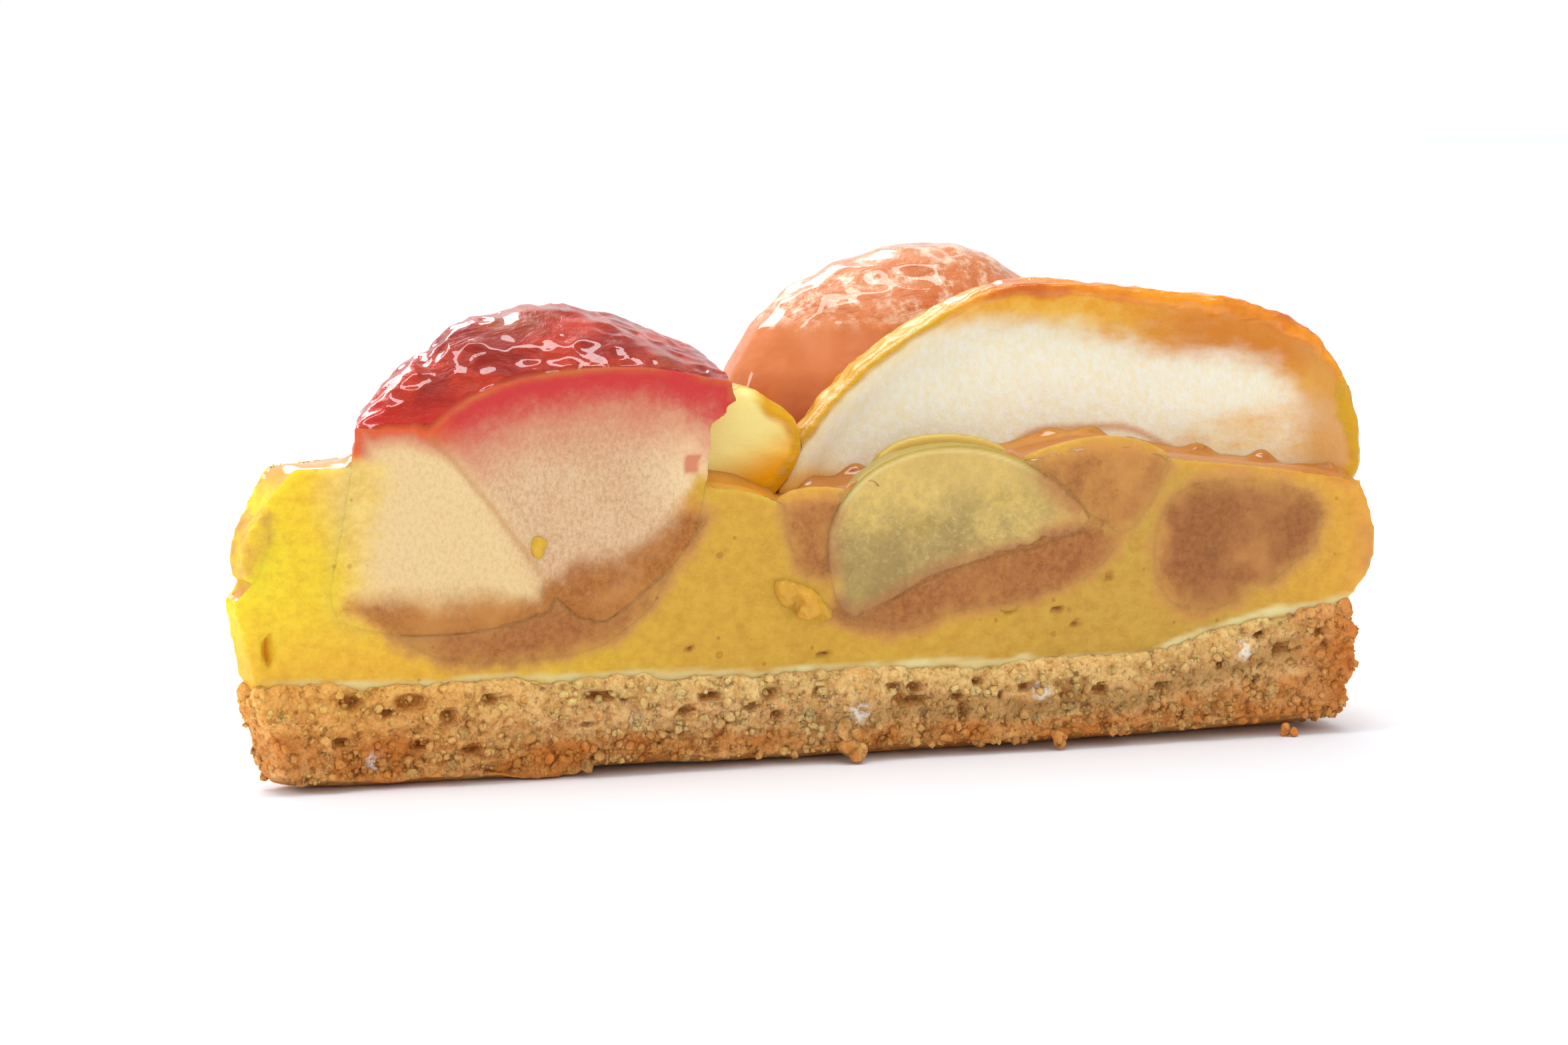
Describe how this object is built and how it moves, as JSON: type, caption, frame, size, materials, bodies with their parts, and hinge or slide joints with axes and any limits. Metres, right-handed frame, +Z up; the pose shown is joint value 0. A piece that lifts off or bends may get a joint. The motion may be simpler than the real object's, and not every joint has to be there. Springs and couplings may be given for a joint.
{
  "type": "fruit tart slice",
  "caption": "Wedge-shaped slice of baked apple custard tart on a shortcrust base, with large red, golden, green and rosy apple pieces standing in the custard.",
  "frame": {"origin": "the middle of the slice's bounding box in plan, on the surface that the crust stands on", "axes": "+X along the front cut from the tip to the rim, +Y from the front cut into the slice, +Z up"},
  "size_m": [0.1337, 0.0694, 0.0545],
  "materials": {
    "red_apple": "wet, glazed red skin over cream flesh that is pink under the skin",
    "yellow_apple": "wet cream flesh with a yellow-green skin",
    "golden_apple": "moist cream flesh with a golden, browned skin lip",
    "rosy_apple": "glazed salmon-orange skin",
    "green_apple": "moist, translucent olive-green flesh with a thin skin",
    "stewed_apple": "soft browned flesh soaked with custard",
    "custard": "baked yellow custard, moist where it is cut and glazed on top",
    "crust": "crumbly shortcrust, browned below and at the rim"
  },
  "bodies": {
    "root": {"apple_red": "red_apple", "apple_red_at_tip": "red_apple", "apple_small": "yellow_apple", "apple_golden": "golden_apple", "apple_rosy": "rosy_apple", "apple_green": "green_apple", "apple_thin": "green_apple", "apple_stewed_at_tip": "stewed_apple", "apple_stewed_beside_green": "stewed_apple", "apple_stewed_under_green": "stewed_apple", "apple_stewed_ridge": "stewed_apple", "apple_stewed_at_rim": "stewed_apple", "apple_stewed_back_inner": "stewed_apple", "apple_stewed_back_outer": "stewed_apple", "apple_chunk_in_tip": "stewed_apple", "custard": "custard", "crust": "crust"}
  },
  "joints": []
}
